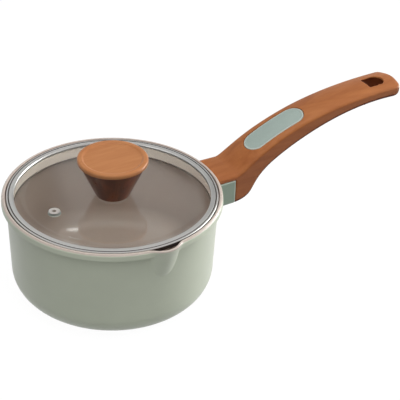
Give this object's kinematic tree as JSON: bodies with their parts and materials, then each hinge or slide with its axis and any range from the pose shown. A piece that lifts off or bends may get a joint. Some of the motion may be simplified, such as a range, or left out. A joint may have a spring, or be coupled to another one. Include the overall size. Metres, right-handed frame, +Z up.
{
  "type": "saucepan with glass lid",
  "caption": "Small coated saucepan with a pouring spout, a long curved wood-effect handle with a hanging hole, and a steel-rimmed glass lid with a flared knob and steam vent.",
  "frame": {"origin": "centre of the pan's base, on the plane that it stands on", "axes": "+X from the pan's axis towards the handle's tip, -Y towards the pouring spout, +Z up"},
  "size_m": [0.349, 0.1731, 0.1194],
  "materials": {
    "pan_coating": "satin",
    "base_steel": "satin",
    "handle_wood": "satin",
    "guard_coating": "satin",
    "inlay_green": "matte",
    "rim_steel": "polished",
    "lid_glass": "polished",
    "gasket": "matte",
    "insert_brass": "satin",
    "stud_aluminium": "satin",
    "screw_steel": "satin"
  },
  "bodies": {
    "pan": {"pan_body": "pan_coating", "induction_disc": "base_steel", "handle_stud": "stud_aluminium", "flame_guard": "guard_coating", "handle_grip": "handle_wood", "handle_inlay": "inlay_green", "flat_washer": "screw_steel", "spring_washer": "screw_steel", "handle_screw": "screw_steel"},
    "lid": {"lid_rim": "rim_steel", "lid_glass": "lid_glass", "vent_eyelet": "rim_steel", "vent_washer": "gasket", "knob": "handle_wood", "knob_insert": "insert_brass", "knob_gasket_upper": "gasket", "knob_gasket_lower": "gasket", "knob_washer": "screw_steel", "knob_screw": "screw_steel"}
  },
  "joints": [
    {"name": "lid_lift", "type": "slide", "parent": "pan", "child": "lid", "axis": [0, 0, 1], "range_m": [0, 0.12]}
  ]
}
